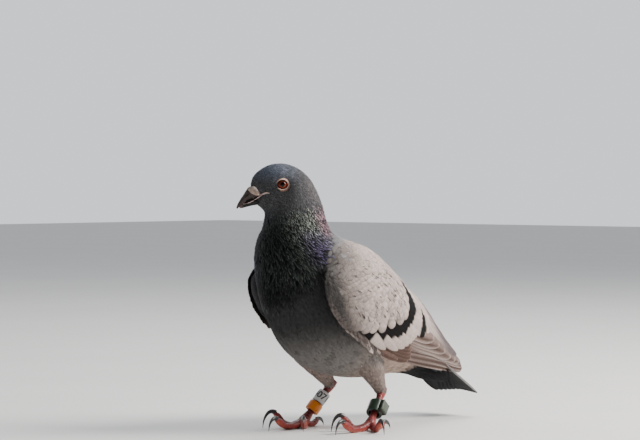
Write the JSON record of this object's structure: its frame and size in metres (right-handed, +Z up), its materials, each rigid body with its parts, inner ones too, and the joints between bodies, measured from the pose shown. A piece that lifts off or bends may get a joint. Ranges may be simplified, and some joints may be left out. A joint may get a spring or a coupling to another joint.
{
  "type": "pigeon",
  "caption": "Life-size still model of a standing racing pigeon: grey, with pale barred wings, a dark glossy neck, its head turned to its right, and leg rings.",
  "frame": {"origin": "middle of the bird's bounding box, on the floor it stands on", "axes": "+Z up; the bird's body faces -Y, its tail points to +Y and its left side is +X; its head is turned 38 degrees to its right"},
  "size_m": [0.1002, 0.2198, 0.1903],
  "materials": {
    "plumage_slate": "slate-grey head feathers, matt",
    "plumage_neck": "dark neck feathers with a green and purple gloss",
    "plumage_grey": "mid-grey body feathers, matt",
    "wing_grey": "pale warm-grey wing shield with black bars, matt",
    "flight_brown": "grey-brown flight feathers, slightly silky",
    "tail_black": "blackish tail feathers, slightly silky",
    "bill_horn": "dark horn, satin",
    "cere_white": "whitish, chalky bare skin",
    "eye_orange": "wet orange-red eye with a black pupil",
    "lid_skin": "pale pinkish bare skin",
    "leg_red": "red scaled skin, satin",
    "claw_black": "black horn, satin",
    "ring_white": "white ring, satin",
    "ring_orange": "orange ring, satin",
    "ring_green": "dark green ring and housing, satin"
  },
  "bodies": {
    "root": {"bill_lower": "bill_horn", "bill_upper": "bill_horn", "cere_left": "cere_white", "cere_right": "cere_white", "claw_hind_left": "claw_black", "claw_hind_right": "claw_black", "claw_inner_left": "claw_black", "claw_inner_right": "claw_black", "claw_middle_left": "claw_black", "claw_middle_right": "claw_black", "claw_outer_left": "claw_black", "claw_outer_right": "claw_black", "eye_left": "eye_orange", "eye_right": "eye_orange", "head": "plumage_slate", "lid_left": "lid_skin", "lid_right": "lid_skin", "neck": "plumage_neck", "primaries_left": "flight_brown", "primaries_right": "flight_brown", "ring_chip": "ring_green", "ring_orange": "ring_orange", "ring_white": "ring_white", "shank_left": "leg_red", "shank_right": "leg_red", "tail": "tail_black", "thigh_left": "plumage_grey", "thigh_right": "plumage_grey", "toe_hind_left": "leg_red", "toe_hind_right": "leg_red", "toe_inner_left": "leg_red", "toe_inner_right": "leg_red", "toe_middle_left": "leg_red", "toe_middle_right": "leg_red", "toe_outer_left": "leg_red", "toe_outer_right": "leg_red", "trunk": "plumage_grey", "wing_left": "wing_grey", "wing_right": "wing_grey"}
  },
  "joints": []
}
